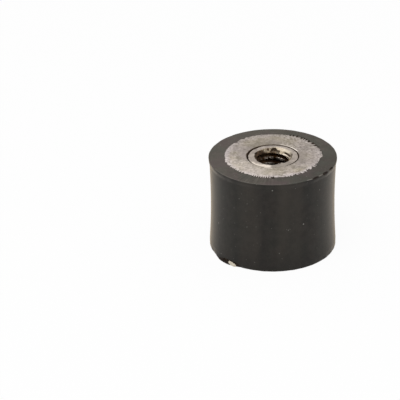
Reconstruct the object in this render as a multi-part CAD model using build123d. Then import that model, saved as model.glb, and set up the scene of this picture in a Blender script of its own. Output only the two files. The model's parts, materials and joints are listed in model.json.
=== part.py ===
from build123d import *
import os

# A cylindrical rubber buffer, 20 mm across and 15 mm long, with an M6 thread in each end.
# Z is the buffer's axis, and the origin is the centre of the lower end face, on which it stands.
#
# Each end is a steel disc with a threaded bush staked into its hole. Both inserts are laid in the
# mould and the rubber is vulcanised round them, so the rubber's pockets are cut with the inserts'
# own outlines and every bonded face meets its neighbour exactly.

# Rubber body
body_diameter = 20.0  # over the trimmed rims
body_height = 15.0
waist_sag = 0.18  # how far the wall is drawn in at half height
rim_flash = 0.10  # how far the trimmed moulding flash stands proud of the wall
rim_height = 0.40  # straight part of that flash
rim_taper = 0.30  # run-out from the flash to the wall
rim_edge = 0.06  # break of the sharp edge round each end face

# End plate, a blanked steel disc
rim_cover = 1.75  # rubber round the plate's edge
plate_thickness = 1.5
plate_roll_width = 1.00  # rounded-over edge that blanking leaves on the outer face
plate_roll_depth = 0.25
rubber_lap = 0.55  # how far the rubber reaches inwards over that rounded edge

# Threaded bush, staked into the plate
thread_bore = 5.0  # tapping size of an M6 thread, which is cut into this wall
mouth_countersink = 0.55  # radial width of the 90 degree lead-in at the mouth
bush_length = 5.0
bush_wall = 1.2  # wall of the spigot that passes through the plate
collar_width = 1.1  # shoulder that bears on the plate's inner face
collar_break = 0.3  # chamfer on the collar's buried edge
stake_flare = 0.40  # how far the staked head is spread beyond the spigot
stake_depth = 0.55
seam_width = 0.20  # groove left round the staked head
seam_depth = 0.20
head_edge = 0.08  # break of the head's edge beside that groove

# Moulding pin that kept the rubber out of the thread
pin_tip_length = 0.5  # how far its tip stood past the bush
pin_tip_chamfer = 0.6

# Scoops torn out of the upper rim: angle from +X in degrees, scoop radius and bite
torn_scoops = (
    (308.0, 1.60, 0.16),
    (321.0, 0.60, 0.20),
    (331.0, 0.50, 0.16),
)
scoop_slope = 45.0  # direction of each bite, in degrees from the end face

# Tag of untrimmed flash left on the lower rim
tag_angle = 221.0  # direction of its middle from +X, in degrees
tag_reach = 0.55  # how far it stands out beyond the rim
tag_curve = 5.0  # radius of its outer edge
tag_thickness = 0.35

# Radii and heights worked out from the sizes above
rim_radius = body_diameter / 2
wall_radius = rim_radius - rim_flash
waist_radius = wall_radius - waist_sag
plate_radius = rim_radius - rim_cover
bore_radius = thread_bore / 2
mouth_radius = bore_radius + mouth_countersink
spigot_radius = bore_radius + bush_wall
collar_radius = spigot_radius + collar_width
stake_radius = spigot_radius + stake_flare
head_radius = stake_radius - seam_width
seam_radius = stake_radius - stake_flare * seam_depth / stake_depth
pin_end = -bush_length - pin_tip_length


def turned(outline):
    """Solid of revolution about Z of a closed half section drawn in radius and height."""
    return revolve(Plane.XZ * make_face(outline), axis=Axis.Z)


def disc(*inner_edge):
    """Disc with its outer face at height 0, round an inner edge of (radius, height) points.

    The inner edge is listed from the disc's inner face outwards. An arc tangent to the outer
    face rounds the rim over.
    """
    face = Line(inner_edge[-1], (plate_radius - plate_roll_width, 0))
    roll = TangentArc(face @ 1, (plate_radius, -plate_roll_depth), tangent=face % 1)
    back = Polyline(roll @ 1, (plate_radius, -plate_thickness), *inner_edge)
    return turned(Curve() + [face, roll, back])


def bush_side():
    """The bush's outer side from its face inwards, as (radius, height) points."""
    return (
        (head_radius - head_edge, 0),
        (head_radius, -head_edge),
        (seam_radius, -seam_depth),
        (spigot_radius, -stake_depth),
        (spigot_radius, -plate_thickness),
        (collar_radius, -plate_thickness),
        (collar_radius, collar_break - bush_length),
        (collar_radius - collar_break, -bush_length),
    )


def end_plate():
    """The steel disc, its hole countersunk for the bush's staked head."""
    return disc(
        (spigot_radius, -plate_thickness),
        (spigot_radius, -stake_depth),
        (stake_radius, 0),
    )


def threaded_bush():
    """Bush with its face at height 0, drilled right through at the tapping size."""
    bore = (
        (bore_radius, -bush_length),
        (bore_radius, -mouth_countersink),
        (mouth_radius, 0),
    )
    return turned(Polyline(*bush_side(), *bore, close=True))


def insert_pocket():
    """The room that one insert, its bare face and its moulding pin keep clear of rubber."""
    bare_face = Cylinder(
        plate_radius - rubber_lap,
        plate_thickness,
        align=(Align.CENTER, Align.CENTER, Align.MAX),
    )
    pin_tip = (
        (bore_radius, -bush_length),
        (bore_radius - pin_tip_chamfer, pin_end),
        (0, pin_end),
    )
    core = Polyline((0, 0), *bush_side(), *pin_tip, close=True)
    return disc((0, -plate_thickness), (0, 0)) + bare_face + turned(core)


def at_end(end, piece):
    """Sets a piece whose outer face is at height 0 into the top or the bottom of the body."""
    return Pos(0, 0, body_height) * piece if end == "top" else Rot(180, 0, 0) * piece


def rubber_blank():
    """The waisted body before its pockets are cut: one arc between two short straight rims."""
    wall_foot = rim_height + rim_taper
    wall = ThreePointArc(
        (wall_radius, wall_foot),
        (waist_radius, body_height / 2),
        (wall_radius, body_height - wall_foot),
    )
    upper_end = Polyline(
        wall @ 1,
        (rim_radius, body_height - rim_height),
        (rim_radius, body_height - rim_edge),
        (rim_radius - rim_edge, body_height),
        (0, body_height),
    )
    lower_end = Polyline(
        (0, 0),
        (rim_radius - rim_edge, 0),
        (rim_radius, rim_edge),
        (rim_radius, rim_height),
        wall @ 0,
    )
    return turned(Curve() + [lower_end, wall, upper_end, Line(upper_end @ 1, lower_end @ 0)])


def torn_scoop(angle, scoop_radius, bite):
    """Ball on the outward bisector of the upper rim's corner, sunk into it by the bite."""
    corner = Rot(0, 0, angle) * Pos(rim_radius, 0, body_height) * Rot(0, -scoop_slope, 0)
    return corner * Pos(scoop_radius - bite, 0, 0) * Sphere(scoop_radius)


def flash_tag():
    """Round leaf of flash on the floor, of which only the outer lens clears the lower rim."""
    leaf = Cylinder(tag_curve, tag_thickness, align=(Align.CENTER, Align.CENTER, Align.MIN))
    return Rot(0, 0, tag_angle) * Pos(rim_radius + tag_reach - tag_curve, 0, 0) * leaf


def rubber_body():
    """The moulded body with its flash and tears, and a pocket for each insert."""
    body = rubber_blank() + flash_tag()
    for end in ("top", "bottom"):
        body -= at_end(end, insert_pocket())
    for scoop in torn_scoops:
        body -= torn_scoop(*scoop)
    return body


nodes = {"rubber_body": rubber_body()}
for end in ("top", "bottom"):
    nodes[f"{end}_plate"] = at_end(end, end_plate())
    nodes[f"{end}_bush"] = at_end(end, threaded_bush())

os.makedirs("parts", exist_ok=True)
for name, shape in nodes.items():
    export_step(shape, f"parts/{name}.step")
    print(name, round(shape.volume, 1), "mm3")
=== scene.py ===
# %% [markdown]
# A rubber buffer, seen close
#
# The real object keeps a machine's vibration out of its frame. It is a short cylinder of black
# rubber, 20 mm across and 15 mm high, drawn in a little at the waist, with a steel insert in
# each end: a flat disc, and a bush with an M6 thread that is staked into the disc's hole.
#
# The solids are already modelled and packed, at their real size. This script loads them as a
# fixed frame, makes a detailed surface for each solid in the very place where the solid is,
# gives every surface its finish, and sets up the light and the camera. It wants an empty scene,
# because sizes are measured from what is there, and a default cube would count.

# %% Load the frame
import json
import math

import bpy
import numpy as np
from mathutils import Matrix, Vector


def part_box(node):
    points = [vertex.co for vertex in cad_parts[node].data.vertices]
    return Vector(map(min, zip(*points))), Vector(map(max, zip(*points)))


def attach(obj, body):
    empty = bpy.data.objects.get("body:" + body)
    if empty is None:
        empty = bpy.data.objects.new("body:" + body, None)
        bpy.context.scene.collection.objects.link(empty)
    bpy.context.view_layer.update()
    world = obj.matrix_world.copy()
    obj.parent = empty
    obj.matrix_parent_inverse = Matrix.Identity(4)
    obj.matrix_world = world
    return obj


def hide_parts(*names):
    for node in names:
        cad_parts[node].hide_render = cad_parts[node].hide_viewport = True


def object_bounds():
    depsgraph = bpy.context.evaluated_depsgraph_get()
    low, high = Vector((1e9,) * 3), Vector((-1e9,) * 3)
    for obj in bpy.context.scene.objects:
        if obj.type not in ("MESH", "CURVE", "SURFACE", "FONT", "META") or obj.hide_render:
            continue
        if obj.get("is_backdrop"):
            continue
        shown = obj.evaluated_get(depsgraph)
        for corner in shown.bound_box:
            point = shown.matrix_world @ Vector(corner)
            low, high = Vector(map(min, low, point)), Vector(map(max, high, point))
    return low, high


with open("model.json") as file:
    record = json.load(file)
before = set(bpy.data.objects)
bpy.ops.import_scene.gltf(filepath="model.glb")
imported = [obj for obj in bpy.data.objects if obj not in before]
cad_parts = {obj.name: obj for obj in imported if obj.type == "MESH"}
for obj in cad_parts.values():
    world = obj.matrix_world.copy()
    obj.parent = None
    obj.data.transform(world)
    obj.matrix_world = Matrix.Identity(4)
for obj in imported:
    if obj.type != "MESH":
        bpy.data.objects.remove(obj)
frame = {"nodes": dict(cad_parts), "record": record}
cad_low, cad_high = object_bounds()


def in_mm(length):
    """A length in metres as millimetres, rounded for print."""
    return round(1000 * length, 2)


print("solids:", sorted(frame["nodes"]))
print("overall size in mm:", [in_mm(side) for side in cad_high - cad_low])

# %% [markdown]
# Sizes
#
# What the frame can tell is measured from it: the boxes of the solids, and the record's thread.
# The sizes below those are too small to show in a box, so they are written here, in metres.
# Depth is always counted from an end face into the body, so one set of numbers does both ends.

# %% Measure the frame and name the small sizes
mm = 0.001
body_height = cad_high.z
rim_radius = cad_high.x
plate_low, plate_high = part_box("top_plate")
plate_radius = plate_high.x
plate_thickness = plate_high.z - plate_low.z
bush_low, bush_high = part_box("top_bush")
collar_radius = bush_high.x
bush_length = bush_high.z - bush_low.z
thread_mount = next(m for m in frame["record"]["mounts"] if m["name"] == "top_thread")
bore_radius = thread_mount["dims"]["r_mm"] * mm

rim_flash = 0.10 * mm  # how far the trimmed flash at each end stands proud of the wall
rim_height = 0.20 * mm  # straight part of that flash
rim_taper = 0.80 * mm  # its soft run-out into the wall
rim_edge = 0.06 * mm
waist_sag = 0.18 * mm  # how far the wall is drawn in at half height
wall_taper = 0.07 * mm  # how much narrower the wall's top is than its middle, and wider its foot
plate_roll_width = 1.00 * mm  # the disc's rounded-over edge
plate_roll_depth = 0.25 * mm
rubber_lap = 0.55 * mm  # how far the rubber reaches over that edge
mouth_radius = 3.05 * mm  # of the bush's countersink, at its face
spigot_radius = 3.70 * mm
stake_radius = 4.10 * mm  # of the disc's hole, at its face
stake_depth = 0.55 * mm
head_edge = 0.06 * mm
seam_depth = 0.20 * mm
seam_radius = stake_radius - (stake_radius - spigot_radius) * seam_depth / stake_depth
collar_break = 0.30 * mm
pin_tip_length = 0.50 * mm  # hollow that the moulding pin left in the rubber behind the bush
pin_tip_chamfer = 0.60 * mm
print("plate and bush in mm:", in_mm(2 * plate_radius), in_mm(2 * collar_radius))

# %% [markdown]
# From a grid of points to a mesh
#
# Everything on this object is round, so every surface is a grid: its columns run round the axis
# and its rows along the half section. A lathe tool or a Screw modifier would do for plain
# turned parts, but here the section changes with the angle, as a thread or a ragged edge does.
# So the points are worked out with numpy as one array, and the mesh takes them in one go.

# %% Mesh helper
def grid_mesh(name, points, closed_rows, marks):
    """Mesh of a rows x columns grid of points, whose columns close on themselves.

    The rows close on themselves too, as on a ring, or else run between two poles, each the mean
    of its nearest row. Four neighbours make a face. The enclosed volume is a sixth of the sum of
    a . (b x c) over the triangles, and where it comes out negative all faces are turned over.
    Marks are rows x columns grids of numbers that go along as attributes, for the material.
    """
    rows, columns = points.shape[:2]
    index = np.arange(rows * columns).reshape(rows, columns)
    upper = index if closed_rows else index[:-1]
    lower = np.roll(index, -1, axis=0) if closed_rows else index[1:]
    quads = np.stack([upper, np.roll(upper, -1, 1), np.roll(lower, -1, 1), lower], axis=-1)
    quads = quads.reshape(-1, 4)
    vertices = points.reshape(-1, 3)
    fans = np.empty((0, 3), int)
    if not closed_rows:
        first, last = index[0], index[-1]
        poles = points[[0, -1]].mean(axis=1)
        above = np.stack([np.full(columns, len(vertices)), np.roll(first, -1), first], axis=-1)
        below = np.stack([last, np.roll(last, -1), np.full(columns, len(vertices) + 1)], axis=-1)
        fans = np.concatenate([above, below])
        vertices = np.concatenate([vertices, poles])
    triangles = np.concatenate([quads[:, [0, 1, 2]], quads[:, [0, 2, 3]], fans])
    a, b, c = (vertices[triangles[:, k]] for k in range(3))
    volume = np.einsum("ij,ij->", a, np.cross(b, c)) / 6
    if volume < 0:
        quads, fans = quads[:, ::-1], fans[:, ::-1]
    corners = np.concatenate([quads.ravel(), fans.ravel()])
    sizes = np.concatenate([np.full(len(quads), 4), np.full(len(fans), 3)])
    mesh = bpy.data.meshes.new(name)
    mesh.vertices.add(len(vertices))
    mesh.vertices.foreach_set("co", vertices.ravel())
    mesh.loops.add(len(corners))
    mesh.loops.foreach_set("vertex_index", corners)
    mesh.polygons.add(len(sizes))
    mesh.polygons.foreach_set("loop_start", np.cumsum(sizes) - sizes)
    mesh.update(calc_edges=True)
    mesh.shade_smooth()
    mesh.set_sharp_from_angle(angle=math.radians(34))
    for mark, values in marks.items():
        padded = np.zeros(len(vertices))
        padded[: rows * columns] = values.ravel()
        mesh.attributes.new(mark, "FLOAT", "POINT").data.foreach_set("value", padded)
    print(f"{name}: {len(triangles)} triangles round {abs(volume) / mm**3:.1f} mm3")
    return mesh


def in_scene(name, data):
    """Object of a mesh, lamp or camera, put into the scene at the origin."""
    made = bpy.data.objects.new(name, data)
    bpy.context.scene.collection.objects.link(made)
    return made


def piece(name, points, closed_rows, material, slot, *nodes, **marks):
    """Object of a grid mesh that rides on the fixed body and stands for the given solids."""
    made = in_scene(name, grid_mesh(name, points, closed_rows, marks))
    made.data.materials.append(material)
    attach(made, "root")
    if nodes:
        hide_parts(*nodes)


# %% [markdown]
# Half sections
#
# A half section is drawn by its corners, each a radius and a depth below the end face. Either may
# be one number or a number for every angle, which is how an edge can be ragged all round. A leg
# fills the way between two corners with evenly spaced rows.

# %% Section helpers
def angles_round(columns):
    """Evenly spaced angles from +X, in radians."""
    return np.arange(columns) * 2 * math.pi / columns


def legs(angles, rows, *corners):
    """Straight legs from corner to corner of a section, with the number of rows of each leg.

    A leg's rows are start + t (end - start), and the next leg begins with its end.
    """
    stations = [np.stack([radius + 0 * angles, depth + 0 * angles]) for radius, depth in corners]
    shares = [np.arange(count)[:, None, None] / count for count in rows]
    ways = zip(stations, stations[1:], shares)
    return np.concatenate([start + t * (end - start) for start, end, t in ways])


def turned(section, angles):
    """Points (r cos a, r sin a, height of the body - depth) of a rows x 2 x columns section."""
    radius, depth = section[:, 0], section[:, 1]
    height = body_height - depth
    return np.stack([radius * np.cos(angles), radius * np.sin(angles), height], axis=-1)


def upside_down(points):
    """Half a turn about the X axis through the body's middle: (x, -y, height - z)."""
    return points * [1, -1, -1] + [0, 0, body_height]


def rounded_maximum(first, second, rounding):
    """The larger of two values, but curved where they cross: (a + b + sqrt((a - b)^2 + e^2)) / 2."""
    return (first + second + np.sqrt((first - second) ** 2 + rounding**2)) / 2


print("four angles round a ring:", angles_round(4).round(2))

# %% [markdown]
# Unevenness round a ring
#
# Nothing on the real part is quite even, and few flaws go all the way round. A Displace
# modifier could do it, but not by measure. Two formulas do it here: a sum of waves for chance,
# which a seed fixes, and a window that keeps a flaw to its own stretch of the ring.

# %% Waves and windows
def waves(angles, fewest, most, seed):
    """Unevenness round a ring, mostly between -1 and 1.

    It is the sum of sine waves with every whole number of waves round the ring from the fewest
    to the most, each with a random height and phase, divided by twice the sum's own spread.
    """
    rng = np.random.default_rng(seed)
    orders = np.arange(fewest, most + 1)[:, None]
    heights = rng.normal(size=orders.shape)
    phases = rng.uniform(0, 2 * math.pi, orders.shape)
    total = (heights * np.sin(orders * angles + phases)).sum(axis=0)
    return total / (2 * total.std())


def smooth_step(value, low, high):
    """0 below low, 1 above high, and 3 t^2 - 2 t^3 between them."""
    t = np.clip((value - low) / (high - low), 0, 1)
    return t * t * (3 - 2 * t)


def window(angles, middle, half_width, fade):
    """1 within a half width of a middle angle, 0 past a fade beyond it, all in degrees."""
    away = np.degrees(np.abs((angles - math.radians(middle) + math.pi) % (2 * math.pi) - math.pi))
    return 1 - smooth_step(away, half_width, half_width + fade)


def stretched(angles, stretches):
    """Sum of windows, each with its middle, half width and fade in degrees, and its height in mm."""
    return sum(height * mm * window(angles, *degrees) for *degrees, height in stretches)


across_edge = np.radians([4, 6, 8, 10])
print("a window of 5 degrees that fades in 5 more:", window(across_edge, 0, 5, 5).round(2))

# %% [markdown]
# The disc's rounded-over edge
#
# The discs are punched from sheet, and the punch drags the edge of one side over, here more in
# front than at the back. A Bevel modifier would make the same edge all round. The rubber laps a
# little way up that edge, so its depth is a function that the steel and the rubber both call.

# %% Depth of the rolled edge
roll_curve = (plate_roll_width**2 + plate_roll_depth**2) / (2 * plate_roll_depth)
less_at_back = 0.65  # share of the rolled depth that the back lacks


def roll_depth_at(radius, angles):
    """Depth of the disc's face: a circle of radius R tangent to it where the roll starts.

    At a distance x past that start the face has sunk by R - sqrt(R^2 - x^2). At the back it has
    sunk by little more than a third of that.
    """
    past = np.clip(radius - (plate_radius - plate_roll_width), 0, plate_roll_width)
    share = 1 - less_at_back * window(angles, 90, 45, 45)
    return share * (roll_curve - np.sqrt(roll_curve**2 - past**2))


def rolled(radius, angles):
    """Section rows on the rolled edge, at a rows x columns grid of radii."""
    return np.stack([radius, roll_depth_at(radius, angles)], axis=1)


print("the rolled edge is a curve of", in_mm(roll_curve), "mm radius")

# %% [markdown]
# The rubber's ragged film
#
# When the mould closes, rubber creeps over the disc's rounded edge as a thin film. Grinding the
# end face flat wears that film back to an uneven line: nearly smooth in some places, torn in
# short bites in others, and combed into fine teeth at the front. It could be sculpted, but not
# the same way twice. Here one curve of radius against angle says all of it: waves of three
# lengths, the shorter ones held to a part of the ring, and windows that push stretches of the
# edge in or out.

# %% Edge of the film
round_rubber = angles_round(768)
film_margin = 0.04 * mm  # the film ends at least this far inside the disc's edge
top_seed = 11
bottom_seed = 47
top_stretches = (
    (4, 16, 8, -0.08),
    (13, 1, 1.5, -0.16),
    (33, 10, 3, -0.26),
    (90, 26, 20, 0.12),
    (123.5, 1, 2, -0.26),
    (136, 1, 2, -0.26),
    (159, 23, 8, -0.16),
    (216, 12, 6, -0.08),
    (250, 8, 4, 0.10),
    (267.5, 1.4, 0.7, -0.20),
    (296, 0.5, 1.5, -0.16),
    (307, 15, 6, -0.10),
    (314.5, 1.5, 2.5, -0.32),
    (324, 2, 1, -0.32),
    (341, 12.5, 2, -0.30),
    (341, 5, 8, -0.09),
)
bottom_stretches = ((200, 20, 8, -0.12),)


def tear_waves(angles, seed):
    """Short waves, which tear the film."""
    return waves(angles, 40, 120, seed + 1)


def comb_waves(angles, seed):
    """Still shorter waves, which comb it into teeth."""
    return waves(angles, 130, 144, seed + 4)


def film_edge(angles, shift_x, shift_y, stretches, seed):
    """Radius at which the rubber film ends, at each angle.

    It is the mean radius, moved off centre by (x, y), plus long waves everywhere, short waves
    where it is torn, small teeth where it is combed, and the stretches. The edge never passes
    the disc's own.
    """
    off_centre = shift_x * np.cos(angles) + shift_y * np.sin(angles)
    torn = 0.15 + 1.3 * window(angles, 45, 18, 8)
    torn = torn + 0.45 * window(angles, 214, 18, 10) + 0.5 * window(angles, 310, 20, 10)
    combed = 0.20 + window(angles, 254, 10, 8)
    long_waves = 0.04 * mm * waves(angles, 4, 12, seed)
    tears = 0.42 * mm * torn * tear_waves(angles, seed).clip(-0.7, 0.7)
    teeth = 0.15 * mm * combed * comb_waves(angles, seed)
    edge = plate_radius - rubber_lap + off_centre + long_waves + tears + teeth
    return (edge + stretched(angles, stretches)).clip(None, plate_radius - film_margin)


top_film = film_edge(round_rubber, 0.10 * mm, 0.30 * mm, top_stretches, top_seed)
bottom_film = film_edge(round_rubber, -0.08 * mm, 0.10 * mm, bottom_stretches, bottom_seed)
print("top film from", in_mm(top_film.min()), "to", in_mm(top_film.max()), "mm from the axis")

# %% [markdown]
# The ends of the moulded rubber
#
# The rubber is one piece, so it is one closed surface. Its rows start in the middle of the
# hollow behind the top bush, follow the pocket round the bush and the disc, come up as the film
# and cross the end face. At the rim they meet the flash, which trimming has left as a short
# straight edge, nibbled all round, with a soft run-out into the wall. Booleans could cut the
# pocket out of a cylinder, but their faces fall anyhow, and the film needs its rows in place.

# %% Section of one end
feather = np.array([0.0, 0.25, 0.6, 1.0])[:, None]  # share of the film's slope that is climbed
feather_width = 0.09 * mm
nibble_depth = 0.025 * mm
foot = rim_height + rim_taper  # depth at which the flash has run out


def rubber_end(angles, film, taper, seed):
    """Section from the hollow's middle to the wall, for one film, taper and nibbled rim.

    The film climbs the slope from the disc's face by the square of the share left to climb. The
    flash goes from the rim's radius to the wall's by a smooth step of the depth.
    """
    tip_radius = bore_radius - pin_tip_chamfer
    tip_depth = bush_length + pin_tip_length
    pocket = legs(
        angles,
        (2, 1, 1, 1, 2, 2, 1),
        (tip_radius / 4, tip_depth),
        (tip_radius, tip_depth),
        (bore_radius, bush_length),
        (collar_radius - collar_break, bush_length),
        (collar_radius, bush_length - collar_break),
        (collar_radius, plate_thickness),
        (plate_radius, plate_thickness),
        (plate_radius, roll_depth_at(plate_radius, angles)),
    )
    roll = rolled(plate_radius + np.arange(3)[:, None] / 3 * (film - plate_radius), angles)
    slope_depth = roll_depth_at(film, angles) * (1 - feather) ** 2
    slope = np.stack([film + feather * feather_width, slope_depth], axis=1)
    lip = rim_radius - nibble_depth * (1 + waves(angles, 5, 40, seed)).clip(0)
    face_start = film + 1.3 * feather_width
    face = legs(angles, (16, 2), (face_start, 0), (lip - rim_edge, 0), (lip, rim_edge))
    wall_radius = rim_radius - rim_flash + taper
    flash_depth = rim_edge + np.arange(8)[:, None] / 8 * (foot - rim_edge) + 0 * angles
    flash_radius = lip + smooth_step(flash_depth, rim_height, foot) * (wall_radius - lip)
    flash = np.stack([flash_radius, flash_depth], axis=1)
    return np.concatenate([pocket, roll, slope, face, flash])


# %% [markdown]
# The wall
#
# Between the rims the wall is drawn in at the waist and tapers a little upwards, and it isn't
# quite round, which shows in its reflections. It could be a plain arc with a bump on top, but a
# bump leaves the outline too clean. The bottom end is the top's section turned over, and the
# three parts make one grid.

# %% Rubber wall and grid
def wall_radius_at(along):
    """Radius of the wall, along from -1 at its top to 1: a slight taper, less a parabola."""
    return rim_radius - rim_flash + wall_taper * along - waist_sag * (1 - along**2)


def rubber_wall(rows, angles):
    """Wall section, made uneven by slow waves round the ring, which fade and turn with the height.

    The rows crowd towards both rims, where the rubber is torn: t - 0.8 sin(2 pi t) / (2 pi).
    """
    t = np.arange(rows)[:, None] / (rows - 1)
    crowded = t - 0.8 * np.sin(2 * math.pi * t) / (2 * math.pi)
    depth = foot + crowded * (body_height - 2 * foot) + 0 * angles
    along = (depth - body_height / 2) / (body_height / 2 - foot)
    uneven = waves(angles, 2, 6, 5) * np.cos(2.1 * along)
    uneven = uneven + waves(angles, 3, 9, 6) * np.sin(1.7 * along)
    return np.stack([wall_radius_at(along) + 0.012 * mm * uneven, depth], axis=1)


top_section = rubber_end(round_rubber, top_film, -wall_taper, 21)
bottom_section = rubber_end(round_rubber, bottom_film, wall_taper, 22)[::-1]
bottom_section[:, 1] = body_height - bottom_section[:, 1]
section = np.concatenate([top_section, rubber_wall(42, round_rubber), bottom_section])
rubber_points = turned(section, round_rubber)
print("rubber grid:", rubber_points.shape)

# %% [markdown]
# Tears in the rubber
#
# Trimming has torn three places out of the upper rim. A boolean with a ball would cut them, and
# leave a sharp, clean dish. Here any point of the surface that lies inside the ball is pushed to
# the ball's skin, away from its centre, so the grid stays whole, and the ball's radius is made a
# little uneven. How far each point was pushed is kept, because the torn rubber is darkened, partly
# as its own colour and partly with painted shade in the scoop.

# %% Scoop function and the tears of the upper rim
def polar(radius, degrees, height):
    """Point at a radius, an angle from +X and a height."""
    angle = math.radians(degrees)
    return np.array([radius * math.cos(angle), radius * math.sin(angle), height])


def scooped(points, radius, degrees, height, ball_radius, stretch):
    """Points inside an uneven ball moved straight out to its skin; the others stay.

    The ball's centre is given by its radius, angle and height. To stretch the ball along the
    rim, the part of each offset that points along the rim is divided by the stretch first.
    """
    centre = polar(radius, degrees, height)
    tangent = polar(1, degrees + 90, 0)
    away = points - centre
    shrunk = away - (away @ tangent)[..., None] * tangent * (1 - 1 / stretch)
    distance = np.linalg.norm(shrunk, axis=-1, keepdims=True)
    grain = np.sin(away / mm * [19, 23, 17] + [1, 2, 3]).sum(axis=-1, keepdims=True)
    return centre + away * np.maximum(1, (ball_radius + 0.015 * mm * grain) / distance)


def torn_out(points, balls):
    """Points after every ball has torn its scoop, and how far each was pushed in all."""
    left = points
    for ball in balls:
        left = scooped(left, *ball)
    return left, np.linalg.norm(left - points, axis=-1)


def rim_ball(degrees, ball_radius, bite, stretch):
    """Ball on the outward bisector of the upper rim's corner, sunk into it by the bite."""
    reach = (ball_radius - bite) / math.sqrt(2)
    return rim_radius + reach, degrees, body_height + reach, ball_radius, stretch


upper_tears = (
    rim_ball(308.5, 1.80 * mm, 0.18 * mm, 1.0),
    rim_ball(320.6, 0.45 * mm, 0.225 * mm, 1.9),
    rim_ball(331, 0.42 * mm, 0.175 * mm, 2.2),
)
rubber_points, upper_torn = torn_out(rubber_points, upper_tears)
print("the upper tears are up to", in_mm(upper_torn.max()), "mm deep")

# %% [markdown]
# Flash left on the lower rim
#
# At the lower left the flash wasn't trimmed off. The wall flares out to a leaf that lies on the
# floor, about half a millimetre beyond the rim. A second piece could be set there, but it would
# need a seam, and the real leaf has grown out of the wall. So the wall's own points move out.
# The leaf is the part of a disc, set off centre, that reaches past the rim.

# %% Flare the lower rim
leaf_angle = 221  # direction of its middle from +X, in degrees
leaf_reach = 0.46 * mm  # how far it stands out beyond the rim
leaf_curve = 5.0 * mm  # radius of the leaf's edge
leaf_height = 1.3 * mm  # height at which the wall starts to flare


def leaf_overhang(angles):
    """How far the leaf stands out beyond the rim, at each angle.

    Its edge is a circle of radius c round a point at a distance d from the axis. At an angle a
    from the leaf's middle the edge is d cos a + sqrt(c^2 - (d sin a)^2) from the axis.
    """
    centre = rim_radius + leaf_reach - leaf_curve
    turn = angles - math.radians(leaf_angle)
    edge = centre * np.cos(turn) + np.sqrt((leaf_curve**2 - (centre * np.sin(turn)) ** 2).clip(0))
    return np.where(np.cos(turn) > 0, edge - rim_radius, 0).clip(0)


height = rubber_points[..., 2]
radius = np.hypot(rubber_points[..., 0], rubber_points[..., 1])
outer = smooth_step(radius, plate_radius + 0.4 * mm, rim_radius - rim_flash - waist_sag)
flare = leaf_overhang(round_rubber) * outer * (1 - height / leaf_height).clip(0) ** 3
rubber_points[..., :2] *= (1 + flare / radius.clip(mm))[..., None]
reached = np.hypot(rubber_points[..., 0], rubber_points[..., 1]).max()
print("the leaf reaches", in_mm(reached), "mm from the axis")

# %% [markdown]
# Torn places, and painted shade
#
# A row of small bites has been torn from the leaf's upper side. They are cut as the upper tears
# are. Torn rubber has no dust on it, and one mark darkens it nearly black, partly as its own colour
# and partly as painted shade in the tears and bites. The same mark puts painted shade where the
# film's bites and teeth end, at a small pit in front that has no shape of its own, and where the
# leaf has lost its skin, partly bare rubber and partly shade. A painted mask could hold that, but
# the marks have to follow the mesh, so each point gets a number that says how torn and shaded it
# is, and the material reads it as an attribute.

# %% Tear the leaf
leaf_bites = ((220, 0.36), (224, 0.44), (228, 0.52), (232, 0.48))  # degrees, and height in mm
bite_from_axis = 10.27 * mm
bite_radius = 0.34 * mm
bite_stretch = 1.3
bites = [(bite_from_axis, degrees, up * mm, bite_radius, bite_stretch) for degrees, up in leaf_bites]
rubber_points, lower_torn = torn_out(rubber_points, bites)
print("the leaf's bites are up to", in_mm(lower_torn.max()), "mm deep")

# %% Mark what is torn, and where shade is painted
# Where the leaf has lost its skin: bare rubber, darkened partly with painted shade.
shaded_bare_angles = (210.5, 213, 218, 223.6, 228, 232, 235.5, 238)
shaded_bare_heights = np.array([0, 0.30, 0.52, 0.62, 0.66, 0.62, 0.5, 0]) * mm
shaded_bare_height = np.interp(np.degrees(round_rubber), shaded_bare_angles, shaded_bare_heights)
shaded_bare = smooth_step(shaded_bare_height - height, -0.04 * mm, 0.06 * mm)
shaded_bare = shaded_bare * smooth_step(radius, 9.3 * mm, 9.7 * mm)

# Painted shade where the film's bites and teeth end, for the shadow of its thick edge.
bitten = smooth_step(-tear_waves(round_rubber, top_seed), 0.0, 0.20)
between_teeth = smooth_step(-comb_waves(round_rubber, top_seed), 0.1, 0.7)
notch_shade = window(round_rubber, 44, 20, 6) * bitten
notch_shade = notch_shade + window(round_rubber, 253, 8, 4) * between_teeth * 0.8
notch_shade = notch_shade * smooth_step(height, body_height - 0.4 * mm, body_height - 0.3 * mm)
notch_shade = notch_shade * (1 - smooth_step(radius, top_film + 0.42 * mm, top_film + 0.58 * mm))

# Painted shade for a small pit in the film's edge in front, which has no shape of its own.
from_pit = np.linalg.norm(rubber_points - polar(7.62 * mm, 267.6, body_height), axis=-1)
pit_shade = 1 - smooth_step(from_pit, 0.19 * mm, 0.31 * mm)

fully_torn = 0.06 * mm  # a point that was pushed this far is torn through and through
# The torn mark sums torn rubber and all this painted shade.
torn = (upper_torn + lower_torn) / fully_torn + shaded_bare + notch_shade + pit_shade
print("torn share of the points:", round((torn > 0.5).mean(), 3))

# %% [markdown]
# Shader maths
#
# A material's nodes are a formula, so they are written as one. A wire wraps an output socket,
# and arithmetic on wires adds Math nodes. Every other node is added by one method, which takes
# its type, then its settings, then a value or a wire for each socket.

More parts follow.
